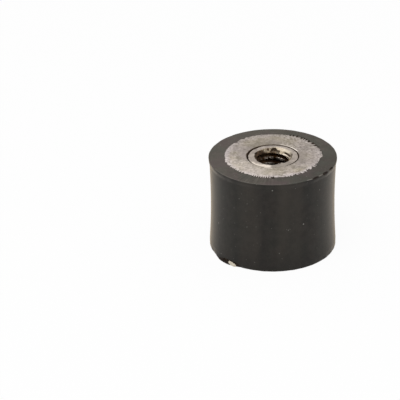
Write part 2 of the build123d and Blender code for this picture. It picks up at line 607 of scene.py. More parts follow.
# %% Wires and graphs
class Wire:
    """An output socket that plain arithmetic can be done on."""

    def __init__(self, graph, socket):
        self.graph = graph
        self.socket = socket

    def maths(self, operation, *values):
        return self.graph.node("ShaderNodeMath", {"operation": operation}, dict(enumerate(values)))

    def __add__(self, other):
        return self.maths("ADD", self, other)

    def __sub__(self, other):
        return self.maths("SUBTRACT", self, other)

    def __rsub__(self, other):
        return self.maths("SUBTRACT", other, self)

    def __mul__(self, other):
        return self.maths("MULTIPLY", self, other)

    def __truediv__(self, other):
        return self.maths("DIVIDE", self, other)

    def __pow__(self, other):
        return self.maths("POWER", self, other)

    def __abs__(self):
        return self.maths("ABSOLUTE", self)

    __radd__ = __add__
    __rmul__ = __mul__

    def step(self, low, high):
        """Smooth step from 0 where this is low to 1 where it is high."""
        sockets = {"Value": self, "From Min": low, "From Max": high}
        return self.graph.node("ShaderNodeMapRange", {"interpolation_type": "SMOOTHSTEP"}, sockets)

    def band(self, low, high, fade):
        """1 between two values, and 0 past a fade on either side."""
        return self.step(low - fade, low) * (1 - self.step(high, high + fade))


def display(red, green, blue):
    """Scene-linear colour of a display colour from 0 to 255: ((c + 0.055) / 1.055) ^ 2.4."""
    share = np.array([red, green, blue]) / 255
    linear = np.where(share > 0.04045, ((share + 0.055) / 1.055) ** 2.4, share / 12.92)
    return (*(float(c) for c in linear), 1.0)


class Graph:
    """The nodes of one material or of the world, emptied first."""

    def __init__(self, owner):
        owner.use_nodes = True
        self.tree = owner.node_tree
        self.tree.nodes.clear()

    def node(self, kind, settings={}, sockets={}, output=0):
        """Adds a node of a type: its settings, then a value or a wire for each socket."""
        made = self.tree.nodes.new(kind)
        for name, value in settings.items():
            setattr(made, name, value)
        for key, value in sockets.items():
            if isinstance(value, Wire):
                self.tree.links.new(value.socket, made.inputs[key])
            else:
                made.inputs[key].default_value = value
        return Wire(self, made.outputs[output])

    def blend(self, share, first, second):
        """Colour between two others; a share of 0 gives the first and 1 the second."""
        return self.node("ShaderNodeMix", {"data_type": "RGBA"}, {0: share, 6: first, 7: second}, 2)

    def coats(self, colour, *coats):
        """Colour under one coat after another, each a share that covers and a display colour."""
        for share, shade in coats:
            colour = self.blend(share, colour, display(*shade))
        return colour

    def bumped(self, height, distance):
        """Normal of a surface with a relief of a height from 0 to 1 times a distance in metres."""
        return self.node("ShaderNodeBump", {}, {"Height": height, "Distance": distance})

    def ray_kinds(self):
        """Three wires that are 1 for camera, glossy and transmission rays."""
        kinds = ("Is Camera Ray", "Is Glossy Ray", "Is Transmission Ray")
        return [self.node("ShaderNodeLightPath", output=kind) for kind in kinds]

    def finish(self, shader, output="ShaderNodeOutputMaterial"):
        """Ends the graph in its output node."""
        end = self.tree.nodes.new(output)
        self.tree.links.new(shader.socket, end.inputs["Surface"])


print("a middle grey is", round(display(128, 128, 128)[0], 3), "of white in scene-linear light")

# %% [markdown]
# Where on the buffer a point is
#
# The patterns on this part go with its shape: streaks run round or across the axis, dirt lies at
# a certain depth in the thread. So each material starts from the same few measures, taken from
# Object coordinates in millimetres: the place, the radius, the depth below the nearer end face,
# and the direction from the axis, which serves as an angle without a seam.

# %% Measures for the materials
class Place(Graph):
    """The graph of one material, with measures of the shaded point, in millimetres."""

    def __init__(self, material):
        super().__init__(material)
        coordinates = self.node("ShaderNodeTexCoord", output="Object")
        scaled = {0: coordinates, "Scale": 1 / mm}
        self.point = self.node("ShaderNodeVectorMath", {"operation": "SCALE"}, scaled)
        axes = [self.node("ShaderNodeSeparateXYZ", {}, {0: self.point}, k) for k in range(3)]
        self.x, self.y, self.z = axes
        self.radius = (self.x * self.x + self.y * self.y) ** 0.5
        middle = body_height / mm / 2
        self.depth = middle - abs(self.z - middle)
        self.along_x = self.x / (self.radius + 0.001)
        self.along_y = self.y / (self.radius + 0.001)

    def cloudy(self, per_mm, detail, roughness=0.55, place=None):
        """Cloudy noise from 0 to 1, with a given number of clouds to the millimetre."""
        sockets = {"Vector": place or self.point, "Scale": per_mm}
        sockets.update({"Detail": detail, "Roughness": roughness})
        return self.node("ShaderNodeTexNoise", {}, sockets)

    def streaky(self, around, outwards, upwards, detail, roughness=0.55):
        """The same noise, drawn out: scales round the axis, along the radius and in height."""
        third = self.radius * outwards + self.z * upwards
        sockets = {0: self.along_x * around, 1: self.along_y * around, 2: third}
        place = self.node("ShaderNodeCombineXYZ", {}, sockets)
        return self.cloudy(1.0, detail, roughness, place)

    def sector(self, degrees, half_width, fade):
        """1 within a half width of an angle, 0 past a fade beyond it, in degrees.

        The cosine of the angle away from it is a dot product of two directions, so the limits
        are cosines too.
        """
        angle = math.radians(degrees)
        cosine = self.along_x * math.cos(angle) + self.along_y * math.sin(angle)
        outer = math.cos(math.radians(half_width + fade))
        return cosine.step(outer, math.cos(math.radians(half_width)))


def finished(name, finish):
    """Material from a finish, a function that gives the Principled sockets for a place."""
    material = bpy.data.materials.new(name)
    here = Place(material)
    here.finish(here.node("ShaderNodeBsdfPrincipled", {}, finish(here)))
    print(f"{name}: {len(here.tree.nodes)} nodes")
    return material


# %% [markdown]
# The rubber's wall
#
# Moulded rubber is almost black, but not one black: it has clouds, a mottle of tints, and wide
# and narrow streaks where it slid out of the mould. Two upright pale bands in front are painted
# reflections, and painted shade darkens the foot. An image could be wrapped round the wall, but it
# would have a seam and a finest size. So the colour is built as coats over a base, each with a
# noise or a place that says how far it covers.

# %% Wall colour
def wall_colour(here, clouds, tints, grain, fine_streaks):
    """Base colour of the wall under its coats, from dark streaks to painted reflections, with painted
    shade at the foot.
    """
    wide_streaks = here.streaky(3.4, 0.0, 0.03, 2.0)
    mottle = here.cloudy(1.2, 3.0, 0.5)
    # Painted reflections: two upright pale bands in front, paler towards the top.
    painted_reflections = here.sector(283, 2, 13) * (0.60 + here.z * 0.03)
    painted_reflections = painted_reflections + here.sector(246, 2, 12) * (0.45 + here.z * 0.035)
    # Painted shade: darker at the foot, where the part stands on the floor.
    foot_shade = here.z.band(-0.1, 0.3, 3.0)
    return here.coats(
        display(26, 24, 22),
        (wide_streaks.step(0.35, 0.65), (36, 32, 28)),
        (clouds.step(0.45, 0.75) * 0.5, (44, 40, 36)),
        (tints.step(0.44, 0.60) * 0.5, (30, 31, 27)),
        (mottle.step(0.46, 0.66) * 0.25, (48, 45, 42)),
        (mottle.step(0.50, 0.30) * 0.35, (21, 20, 18)),
        (grain.step(0.48, 0.72) * 0.3, (46, 43, 39)),
        (fine_streaks.step(0.55, 0.8) * 0.25, (54, 50, 45)),
        (painted_reflections * (0.10 + clouds * 0.35 + wide_streaks * 0.35), (58, 53, 47)),
        (foot_shade * 0.3, (20, 19, 18)),
    )


# %% [markdown]
# The rubber's ground end faces
#
# Grinding leaves the end faces greyer and more matt than the wall, scuffed, and combed with fine
# streaks where the wheel left the part. A painted highlight lies along the outer edge in front, the
# right side of the face is darkened with painted shade and its back left lightened with painted
# light, and the edge is frayed beside the tears. The same coats do it as on the wall, with other
# noises: streaks that run outwards come from a noise that is stretched along the radius.

# %% Ground face colour
def ground_colour(here, tints, grain, across, combed):
    """Base colour of an end face under its coats: scuffs, combing, tints, painted light and shade, a
    painted highlight on the front edge, and frayed pale edges.
    """
    scuffs = here.streaky(6.0, 1.3, 0.0, 5.0, 0.65)
    # Painted highlight along the outer edge in front, where the edge catches the light.
    painted_edge_highlight = (here.radius + grain * 0.06).step(9.86, 9.93) * here.sector(262, 50, 20)
    frayed = here.sector(314, 3.5, 2) + here.sector(301.5, 2, 1.5)
    frayed = frayed * (here.radius + grain * 0.1).step(9.86, 9.96)
    return here.coats(
        display(64, 61, 57),
        (scuffs.step(0.35, 0.65), (79, 75, 70)),
        (grain.step(0.45, 0.75) * 0.35, (92, 88, 83)),
        (across.step(0.45, 0.7) * combed * 0.36, (98, 94, 88)),
        (across.step(0.50, 0.3) * combed * 0.34, (58, 55, 51)),
        (painted_edge_highlight * 0.5, (112, 107, 101)),
        # Painted shade on the right side of the face.
        (here.sector(322, 24, 28) * 0.68, (58, 56, 53)),
        (tints.step(0.46, 0.60) * 0.55, (80, 68, 70)),
        (tints.step(0.46, 0.36) * 0.55, (66, 68, 63)),
        # Painted light at the back left of the face.
        (here.sector(150, 50, 40) * 0.25, (92, 88, 83)),
        (frayed * 0.8, (134, 128, 122)),
    )


# %% [markdown]
# Dust on the rubber
#
# Black rubber shows every grain of dust. Thousands of tiny meshes could lie on it, but a grain
# is flat and small, so a pale spot in the colour is enough. Chance specks are the middles of
# Voronoi cells, in some of the cells only. The large grains in front are too few for chance to
# place them well, so they are listed, each a small ball round a point of the wall.

# %% Dust
dust_grains = (  # direction in degrees, height and size in mm
    (296.2, 7.55, 0.13),
    (267.0, 13.95, 0.12),
    (213.8, 0.95, 0.12),
    (208.0, 5.85, 0.11),
    (273.2, 3.15, 0.09),
    (281.5, 7.00, 0.09),
    (314.2, 12.50, 0.10),
    (243.8, 11.25, 0.08),
    (243.5, 7.25, 0.08),
    (229.8, 1.15, 0.08),
    (235.8, 11.80, 0.08),
    (287.5, 14.00, 0.08),
    (251.2, 1.40, 0.08),
    (230.0, 9.95, 0.07),
)
paleness = 3.9  # how pale a grain is for each mm of its size


def specks(here, per_mm, lot_from, size, fade):
    """Wire that is 1 on round specks: one in each cell of a grid, in some of the cells only."""
    cells = {"Vector": here.point, "Scale": per_mm}
    away = here.node("ShaderNodeTexVoronoi", {}, cells)
    cell_colour = here.node("ShaderNodeTexVoronoi", {}, cells, 1)
    lot = here.node("ShaderNodeSeparateColor", {}, {0: cell_colour})
    chosen = lot.step(lot_from, lot_from + 0.02)
    return (1 - away.step(size, size + fade)) * chosen


def grains(here):
    """Wire that is pale on each listed grain, fading from 0.4 to 1.2 of its size."""
    total = 0
    for degrees, up, size in dust_grains:
        wall_radius = wall_radius_at(1 - 2 * up * mm / body_height) / mm
        sockets = {0: here.point, 1: polar(wall_radius, degrees, up)}
        away = here.node("ShaderNodeVectorMath", {"operation": "DISTANCE"}, sockets, 1)
        total = total + (1 - away.step(0.4 * size, 1.2 * size)) * (size * paleness)
    return total


def dust(here, on_wall):
    """Wire of all dust: large specks except in front on the wall, small ones, and the grains."""
    in_front = on_wall * here.sector(270, 66, 6)
    large = specks(here, 1.0, 0.58, 0.03, 0.055) * 0.6 * (1 - in_front)
    small = specks(here, 1.8, 0.62, 0.05, 0.09) * 0.26
    return large + small + grains(here)


print(len(dust_grains), "grains of dust are listed")

# %% [markdown]
# The rubber's finish
#
# What makes rubber read as rubber is its broad, weak gloss, which turns pale where the wall bends
# away from the eye. Sheen stands for the faint bloom of wax and dust that does this. The wall
# and the ground faces share one material, because the real rubber is one: a mask by depth and
# radius picks between their colours, and the torn mark darkens both, as torn rubber and as
# painted shade.

# %% Rubber finish
def rubber_finish(here):
    """Principled sockets of the moulded rubber."""
    on_wall = here.depth.step(0.02, 0.10) * here.radius.step(9.0, 9.3)
    clouds = here.cloudy(0.5, 5.0, 0.65)
    tints = here.cloudy(0.22, 3.0, 0.6)
    grain = here.cloudy(7.0, 3.0, 0.6)
    fine_streaks = here.streaky(26.0, 0.0, 0.15, 3.0)
    across = here.streaky(30.0, 0.10, 0.0, 1.0)
    combed = 0.2 + here.sector(250, 14, 16)
    # The torn mark: darker torn rubber, and painted shade in the tears, bites, notches and pit.
    mark = here.node("ShaderNodeAttribute", {"attribute_name": "torn"}, output=2)
    torn_and_shade = (mark + grain * 0.4).step(0.3, 0.9)
    ground = ground_colour(here, tints, grain, across, combed)
    wall = wall_colour(here, clouds, tints, grain, fine_streaks)
    relief = grain * 0.4 + fine_streaks * on_wall * 0.6 + across * combed * (1 - on_wall) * 0.8
    return {
        "Base Color": here.coats(
            here.blend(on_wall, ground, wall),
            (dust(here, on_wall), (164, 160, 154)),
            (torn_and_shade * 0.97, (24, 13, 6)),
        ),
        "Roughness": 0.70 - on_wall * 0.40 + clouds * 0.10 + torn_and_shade * 0.30,
        "Specular IOR Level": 0.20,
        "Sheen Weight": 0.42,
        "Sheen Roughness": 0.30,
        "Sheen Tint": display(255, 220, 162),
        "Normal": here.bumped(relief, 0.012 * mm),
    }


rubber = finished("moulded_rubber", rubber_finish)
# The torn mark, torn rubber and painted shade, goes along as an attribute.
piece("rubber_moulding", rubber_points, False, rubber, "rubber", "rubber_body", torn=torn)

# %% [markdown]
# The steel disc and the seam round the bush
#
# The disc is a ring: its section goes up the countersunk hole, across the face, over the rolled
# edge and back underneath. The bush was staked into it with more force on one side, so the seam
# between them is nearly 0.4 mm wide on the left, and shut at the front. A groove cut with one
# width would look machined. So one function gives the seam's width at every angle; the
# disc's hole keeps its size and the bush's head takes up what is left.

# %% Seam and disc surface
round_plate = angles_round(400)
hole_edge = 0.012 * mm  # tiny break of the hole's edge
usual_seam = 0.14 * mm
shut_seam = 0.012 * mm  # what is left of it where it is shut
seam_stretches = (
    (85, 80, 18, 0.06),
    (98, 26, 20, 0.06),
    (158, 26, 18, 0.15),
    (260, 28, 30, -0.125),
)


def seam_width(angles):
    """Width of the gap between the hole and the bush's head: a mean, stretches and waves."""
    width = usual_seam + stretched(angles, seam_stretches) + 0.02 * mm * waves(angles, 5, 30, 33)
    return width.clip(shut_seam)


def plate_section(angles):
    """Closed section of the disc: hole, face, rolled edge, rim and underside.

    The rolled edge has rows at even radii, and its depth is the circle of roll_depth_at.
    """
    seam_edge = stake_radius + 0.008 * mm * waves(angles, 4, 60, 31)
    roll_start = plate_radius - plate_roll_width
    front = legs(
        angles,
        (3, 5, 1, 22),
        (spigot_radius, plate_thickness),
        (spigot_radius, stake_depth),
        (seam_edge, hole_edge),
        (seam_edge + 0.02 * mm, 0),
        (roll_start, 0),
    )
    roll_radius = roll_start + np.arange(12)[:, None] / 12 * plate_roll_width + 0 * angles
    roll = rolled(roll_radius, angles)
    back = legs(
        angles,
        (4, 5),
        (plate_radius, roll_depth_at(plate_radius, angles)),
        (plate_radius, plate_thickness),
        (spigot_radius, plate_thickness),
    )
    return np.concatenate([front, roll, back])


plate_points = turned(plate_section(round_plate), round_plate)
print("the seam is up to", in_mm(seam_width(round_plate).max()), "mm wide")

# %% [markdown]
# Tumbled steel
#
# The disc has been tumbled in a barrel after punching, so its face is a dull mottle of tiny
# dents, grey with a warm tinge. Big blotches are where it lay in the barrel, wisps are its
# scratches, and it is palest in a broken band near the rim. It is darkened at the back with
# painted shade, duller round the bush and on the right, and a painted highlight lies on it in
# front at the left. Real dents in the mesh would need millions of faces, so they are in the colour
# and the relief, both from the same noises.

# %% Tumbled colour
def tumbled_colour(here, blotches, wisps, dents):
    """Base colour of the disc under its coats, with the pale rim band, painted shade at the back, and
    a painted highlight at the front left.
    """
    tints = here.cloudy(0.25, 3.0, 0.5) + here.along_y * here.along_y * 0.16 - 0.08
    rim = (here.radius + blotches * 1.2 + wisps * 1.6).step(7.9, 8.7)
    rough_sides = here.sector(222, 20, 22) + here.sector(45, 20, 22)
    rough = 0.36 + rim * 0.60 + rough_sides * (1 - rim) * 0.34
    # Painted shade: darker towards the back.
    back = (here.y * 0.8 + blotches * 3.0).step(0.5, 6.5)
    near_bush = 1 - (here.radius + blotches * 1.2).step(5.2, 6.8)
    near_bush = near_bush * (1 - here.sector(45, 18, 14) * 0.9 - here.sector(226, 18, 14) * 0.7)
    # Duller round the bush and on the right, and painted shade at the back.
    dull_and_shade = back * 0.33 + near_bush * 0.29 + here.sector(0, 22, 22) * 0.18
    # Painted highlight in front at the left.
    painted_highlight = here.sector(228, 18, 26) * here.radius.step(4.2, 5.2)
    return here.coats(
        display(150, 141, 129),
        (blotches.step(0.36, 0.64), (192, 180, 171)),
        (tints.step(0.48, 0.62) * 0.5, (172, 161, 136)),
        (tints.step(0.48, 0.36) * 0.5, (178, 167, 166)),
        (wisps.step(0.49, 0.64) * (0.35 + rough * 0.7), (208, 198, 187)),
        (wisps.step(0.47, 0.34) * (0.30 + rough * 0.7), (118, 109, 98)),
        (rim * (0.3 + here.sector(240, 75, 20) * 0.26), (204, 195, 198)),
        (dents.step(0.52, 0.64) * rough, (220, 211, 204)),
        (dents.step(0.47, 0.34) * rough, (112, 103, 96)),
        (dull_and_shade, (112, 103, 92)),
        (painted_highlight * 0.3, (222, 212, 202)),
    )


# %% [markdown]
# The disc beside the seam
#
# Staking has smeared the disc's metal in front into a bright crescent, which is partly that smear
# and partly a painted highlight, and pushed up a pale lip at the back right. Old oil has seeped
# out of the seam and left a brown halo on both parts, and inside, the seam is black with it.
# Decals could be laid over the steel, but radius and angle place each mark just as well, and the
# halo is one function that both materials call.

# %% Disc finish
seam_black = (42, 26, 11)
halo_brown = (90, 73, 54)


def seeped(here):
    """Wire that is highest where old oil has seeped out along the back of the seam."""
    patches = here.streaky(7.0, 2.0, 0.0, 3.0).step(0.25, 0.65)
    near = here.radius.band(3.99, 4.15, 0.09)
    return patches * near * (here.sector(110, 60, 20) * 0.9 + here.sector(345, 20, 20) * 0.4)


def disc_finish(here):
    """Principled sockets of the tumbled disc, with the marks of staking and the seam's oil."""
    blotches = here.cloudy(0.6, 5.0, 0.6)
    wisps = here.streaky(9.0, 1.6, 0.0, 5.0, 0.7)
    dents = here.cloudy(3.0, 4.0, 0.65)
    pits = here.cloudy(9.0, 2.0)
    # Bright crescent in front: smeared metal, and partly a painted highlight.
    smear_and_highlight = here.sector(258, 7, 3) * (1 - (here.radius + dents * 0.4).step(4.50, 4.75))
    lip = here.sector(44, 22, 8) * here.radius.band(4.16, 4.30, 0.06)
    seam = here.depth.step(0.002, 0.008) * (1 - here.radius.step(4.2, 4.4))
    return {
        "Base Color": here.coats(
            tumbled_colour(here, blotches, wisps, dents),
            (smear_and_highlight * 0.7, (226, 214, 202)),
            (lip * dents.step(0.40, 0.50), (242, 233, 222)),
            (seeped(here), halo_brown),
            (seam * 0.98, seam_black),
        ),
        "Metallic": 1.0 - seam,
        "Specular IOR Level": 0.2,
        "Roughness": 0.42 + blotches * 0.12 + dents * 0.10 + seam * 0.5,
        "Normal": here.bumped(dents * 0.9 + pits * 0.4 + wisps * 0.5, 0.03 * mm),
    }


plate_steel = finished("tumbled_steel", disc_finish)
piece("top_disc", plate_points, True, plate_steel, "plate_steel", "top_plate")
piece("bottom_disc", upside_down(plate_points), True, plate_steel, "plate_steel", "bottom_plate")

# %% [markdown]
# The thread
#
# The bush is tapped M6 from end to end. A bump or an image would look flat in the mouth, and a
# Screw modifier can't fade out into a plain bore, so the thread is real geometry on the bore's
# own grid. The radius is worked out for every depth and angle: how far is this point, along the
# axis, from the nearest crest of the helix? On the crest the radius is the tapping size; down
# the 60 degree flank it grows to the full 6 mm thread.

# %% Radius of the thread
pitch = 1.0 * mm
thread_root_radius = 3.0 * mm
flank_slope = math.tan(math.radians(60))  # radial rise for each step along the axis
root_half_flat = pitch / 16
crest_half_flat = pitch / 2 - root_half_flat - (thread_root_radius - bore_radius) / flank_slope
first_crest_depth = 0.79 * mm  # on the +X side, from where it climbs counter-clockwise


def thread_radius(depth, angles):
    """Radius of the right-hand thread at a depth and an angle.

    A crest lies at each depth d where (d - first crest) / pitch + angle / full turn is a whole
    number. Past half the crest's flat the radius grows along the flank, up to the root's.
    """
    turns = (depth - first_crest_depth) / pitch + angles / (2 * math.pi)
    from_crest = np.abs(turns - np.round(turns)) * pitch
    on_flank = bore_radius + (from_crest - crest_half_flat) * flank_slope
    return on_flank.clip(bore_radius, thread_root_radius)


print("the thread's crest is", in_mm(2 * crest_half_flat), "mm wide")

# %% [markdown]
# The threaded bush
#
# The bush is turned from bar, countersunk, tapped and staked into the disc. What is left of the
# metal is what neither cutter has taken, so the bore's radius is simply the larger of the
# thread's and the countersink's cone, rounded where they meet. The mouth isn't round any more:
# it is worn wide in front and at the back right, and has a burr at the front right. At the back
# the thread starts deeper, as the tap has left it. A lathed cone and a separate helix would have
# to be joined by a boolean; one radius for every depth and angle needs no join.

# %% Bush surface
round_bush = angles_round(320)
cut_start = 0.10 * mm  # depth at which the thread starts to show
cut_delay = 0.50 * mm  # how much deeper it starts at the back
cut_fade = 0.30 * mm
mouth_stretches = (
    (255, 18, 8, 0.15),  # worn
    (42, 28, 20, 0.15),
    (80, 4, 5, 0.07),
    (92, 4, 4, -0.05),
    (136, 12, 8, -0.09),
    (186, 18, 14, -0.16),
    (295.7, 1, 5.5, -0.31),  # burr
)


def bush_section(angles):
    """Closed section of the bush: bore, inner end, collar, spigot, staked head and face.

    The cone's radius is the mouth's less the depth. The thread is cut by a share that goes from
    0 to 1 within the fade, deeper at the back.
    """
    mouth = mouth_radius + stretched(angles, mouth_stretches) + 0.02 * mm * waves(angles, 5, 30, 41)
    depth = (np.arange(170)[:, None] / 170) * bush_length + 0 * angles
    at_back = window(angles, 112, 30, 16)
    cut_from = cut_start + cut_delay * at_back
    cut = smooth_step(depth, cut_from, cut_from + cut_fade)
    thread = bore_radius + cut * (thread_radius(depth, angles) - bore_radius)
    rounding = 0.03 * mm + 0.17 * mm * at_back
    bore = np.stack([rounded_maximum(thread, mouth - depth, rounding), depth], axis=1)
    head = stake_radius - seam_width(angles)
    outside = legs(
        angles,
        (4, 1, 3, 2, 3, 2, 2, 2, 2, 8),
        (thread_radius(bush_length, angles), bush_length),
        (collar_radius - collar_break, bush_length),
        (collar_radius, bush_length - collar_break),
        (collar_radius, plate_thickness),
        (spigot_radius, plate_thickness),
        (spigot_radius, stake_depth),
        (np.minimum(head, seam_radius), seam_depth),
        (head, 0.6 * head_edge),
        (head - 0.3 * head_edge, 0.2 * head_edge),
        (head - head_edge, 0),
        (mouth, 0),
    )
    return np.concatenate([bore, outside])


bush_points = turned(bush_section(round_bush), round_bush)
print("bush grid:", bush_points.shape)

# %% [markdown]
# Turned steel
#
# The bush's face keeps the fine rings of the lathe, and a bright crescent near its edge is partly
# burnished by the staking punch and partly a painted highlight. Beside the mouth lie a painted
# sheen and a trace of rust. The countersink is pale metal, with painted light at the back right,
# toned down by painted shade where the lamp glares, a painted highlight in a strip where it meets
# the thread, and dirt and painted shade on its right side. All that goes with radius, depth and
# direction, so those measures place it, where an image would need the cone unrolled first.

# %% Face and countersink colours
def face_colour(here, rings):
    """Base colour of the bush's face under its coats: rings, a crescent of burnish and painted
    highlight, a painted highlight by the mouth, rust and oil.
    """
    blotches = here.cloudy(1.3, 4.0, 0.6)
    smears = here.streaky(14.0, 3.0, 0.0, 3.0)
    outward = here.radius + rings * 0.8 + smears * 0.9 + here.x * 0.2
    # Bright crescent: burnished by the staking punch, and partly a painted highlight.
    burnished_and_highlight = here.sector(237, 22, 7) * outward.step(3.70, 4.25)
    # Painted sheen: a pale patch on the face beside the mouth at the back right.
    painted_sheen = here.sector(52, 20, 16) * (1 - (here.radius + rings * 0.5).step(3.4, 3.9))
    rusty = here.sector(80, 7, 8) * (1 - here.radius.step(3.1, 3.4))
    return here.coats(
        display(146, 135, 126),
        (blotches.step(0.3, 0.7), (180, 169, 158)),
        (rings.step(0.5, 0.8) * 0.4, (200, 190, 180)),
        (here.sector(286, 22, 16) * 0.5, (138, 130, 118)),
        (burnished_and_highlight * (0.65 + smears * 0.5), (238, 226, 212)),
        (painted_sheen * 0.6, (204, 193, 178)),
        (rusty * 0.4, (112, 98, 80)),
        (seeped(here), halo_brown),
    )


def cone_colour(here, fine):
    """Base colour of the countersink under its coats: painted light, painted shade where the lamp
    glares, a painted highlight where it meets the thread, and dirt with painted shade.
    """
    upper = 1 - here.depth.step(0.26, 0.36)
    rising = here.depth + fine * 0.04 + (here.along_x - 0.77) * 0.45
    # Painted highlight in a strip where the cone meets the thread.
    painted_highlight_strip = here.sector(27, 17, 10) * rising.band(0.59, 0.69, 0.04) * 1.2
    # Dirt on the right side; the part at 12 degrees near the face is painted shade.
    dirt_and_shade = here.sector(347, 24, 10) * (0.12 + fine.step(0.35, 0.5) * 0.34)
    dirt_and_shade = dirt_and_shade + here.sector(338, 14, 8) * here.depth.step(0.40, 0.50) * 0.7
    dirt_and_shade = dirt_and_shade + here.sector(12, 7, 10) * here.depth.band(0.05, 0.24, 0.05) * 0.5
    return here.coats(
        display(138, 124, 105),
        (fine.step(0.40, 0.60), (188, 176, 155)),
        # Painted light at the back right, then painted shade where the lamp glares at 68 degrees.
        (here.sector(38, 18, 24) * upper * (0.8 + fine * 0.3), (210, 199, 181)),
        (here.sector(68, 8, 10) * upper * 0.8, (168, 156, 138)),
        (painted_highlight_strip, (238, 226, 208)),
        (dirt_and_shade, (80, 67, 55)),
    )


# %% [markdown]
# Cutting oil and thread
#
# Brown cutting oil has dried in the countersink: over its whole left side, in a spot at the back,
# and in a few smaller marks. A groove beside it, and a mark at the back, are darkened partly with
# oil and partly with painted shade. The thread below is nearly black, with oil and with painted
# shade that deepens further in; the first turn's pale edge and a few glints are painted
# highlights, and its root is lightened with painted light. Stains could be painted, but here each
# is a sector times a band of depth, and a clamp keeps their sum a share.

# %% Oil and thread colours
def oil_stains_and_shade(here, fine):
    """Share of the hole's metal that dried oil and painted shade hide, and their colour."""
    oil = here.streaky(2.6, 0.0, 1.2, 4.0, 0.6)
    left = (oil * 0.7 - here.along_x + here.depth * 0.2).step(0.72, 0.86)
    left = left * (here.depth + oil * 0.1 - here.along_x * 0.2).step(0.22, 0.28)
    half_spot = 0.09 + here.depth * 0.28 + (oil - 0.5) * 0.14
    spot = (half_spot - abs(here.along_x - 0.110)).step(-0.02, 0.02)
    spot = spot * here.depth.step(0.04, 0.09)
    spot = spot * here.along_y.step(0.2, 0.4) * (1 - here.depth.step(0.40, 0.48))
    tail = here.sector(73, 8, 4) * here.depth.band(0.34, 0.46, 0.04)
    wash = here.sector(79, 14, 5) * here.depth.band(0.47, 0.66, 0.04) * 0.75
    mark = here.sector(102, 2.4, 2.0) * here.depth.band(0.08, 0.34, 0.05)
    # Painted shade: the wider, fainter part of the mark at the back.
    mark = mark + here.sector(101, 8, 5) * here.depth.band(0.06, 0.50, 0.06) * 0.3
    # The groove: partly oil, partly painted shade where the thread's groove runs out.
    groove_oil_and_shade = here.sector(28, 13, 9) * (here.depth + fine * 0.06).band(0.40, 0.56, 0.05)
    stain_and_shade = here.node("ShaderNodeClamp", {}, {0: left + spot + tail + wash + mark + groove_oil_and_shade})
    clots = here.cloudy(2.0, 3.0, 0.6)
    stain_and_shade_colour = here.coats(
        display(78, 58, 41),
        (clots.step(0.4, 0.6), (32, 22, 13)),
        (spot + groove_oil_and_shade * 0.4, (38, 24, 10)),
    )
    return stain_and_shade, stain_and_shade_colour


def thread_colour(here):
    """Base colour of the thread: a painted highlight on the first turn's crest and painted light in
    its root, then dark oil and painted shade with painted glints on it.
    """
    root = here.radius.step(2.53, 2.62)
    # Painted highlight on the crest at the back right, and painted light in the root.
    first_turn_painted_light = here.coats(
        display(142, 126, 104),
        (here.sector(44, 12, 26), (232, 220, 202)),
        (root, (150, 122, 94)),
    )
    # Painted glints on the deeper crests.
    spotlit = here.sector(58, 4, 6) * 1.1 + here.sector(105, 8, 6) * 0.6 + 0.3
    glints = here.cloudy(2.2, 2.0).step(0.42, 0.56) * (1 - root) * spotlit
    glints = glints * (0.35 + here.cloudy(3.6, 3.0).step(0.42, 0.58) * 0.75)
    # Dark with oil and painted shade, paler brown on the left, with painted shade deepening further
    # in.
    deep = here.coats(
        display(42, 26, 12),
        (here.sector(165, 45, 20), (78, 56, 36)),
        (glints, (206, 196, 184)),
        (here.depth.step(2.0, 2.6) * 0.5, (20, 12, 6)),
    )
    return here.blend(here.depth.step(0.92, 1.08), first_turn_painted_light, deep)


# %% [markdown]
# The bush's finish
#
# The bush is one piece of steel, so it has one material. Masks by depth and radius lay the four
# colours side by side: the face, the cone and the thread in the hole, and the black of the seam.
# Where oil lies, the surface is no metal any more, so the same share lowers Metallic and raises
# the roughness.

# %% Bush finish
def bush_finish(here):
    """Principled sockets of the turned and threaded bush."""
    fine = here.cloudy(5.0, 3.0)
    rings = here.streaky(1.5, 12.0, 0.0, 3.0)
    in_hole = here.depth.step(0.01, 0.05) * (1 - here.radius.step(3.3, 3.4))
    seam = here.depth.step(0.004, 0.02) * here.radius.step(3.6, 3.7)
    stain_and_shade, stain_and_shade_colour = oil_stains_and_shade(here, fine)
    cone_end = (mouth_radius - bore_radius) / mm + 0.15 * here.sector(42, 28, 20)
    in_thread = (here.depth - cone_end).step(-0.01, 0.04)
    hole = here.blend(in_thread, cone_colour(here, fine), thread_colour(here))
    hole = here.blend(stain_and_shade * 0.96 * (1 - here.depth.step(1.2, 1.5)), hole, stain_and_shade_colour)
    return {
        "Base Color": here.coats(
            here.blend(in_hole, face_colour(here, rings), hole),
            (seam * 0.98, seam_black),
        ),
        "Metallic": 1.0 - in_hole * stain_and_shade * 0.95 - seam,
        "Specular IOR Level": 0.1,
        "Roughness": 0.42 + in_hole * (0.06 + stain_and_shade * 0.25) + fine * 0.12 + seam * 0.5,
        "Normal": here.bumped(rings * (1 - in_hole) + fine * 0.5, 0.01 * mm),
    }


bush_steel = finished("turned_steel", bush_finish)
piece("top_threaded_bush", bush_points, True, bush_steel, "bush_steel", "top_bush")
piece("bottom_threaded_bush", upside_down(bush_points), True, bush_steel, "bush_steel", "bottom_bush")

# %% [markdown]
# The pale sliver
#
# Beside the tear in the lower rim hangs a sliver of torn flash, dried out and nearly white. It
# is a flat tongue, broad at both ends, that bends down and lies flat on the floor. A curve with
# a bevel would have the same section everywhere. So an oval is carried along a bent path, and
# two waves make its outline ragged.

# %% Sliver surface
sliver_path = (
    polar(10.12 * mm, 224.8, 0.42 * mm),
    polar(10.20 * mm, 229.2, 0.25 * mm),
    polar(10.19 * mm, 233.5, 0.06 * mm),
)
sliver_width = 0.27 * mm
sliver_thickness = 0.07 * mm


def unit(vectors):
    """Vectors divided by their own lengths."""
    return vectors / np.linalg.norm(vectors, axis=1, keepdims=True)


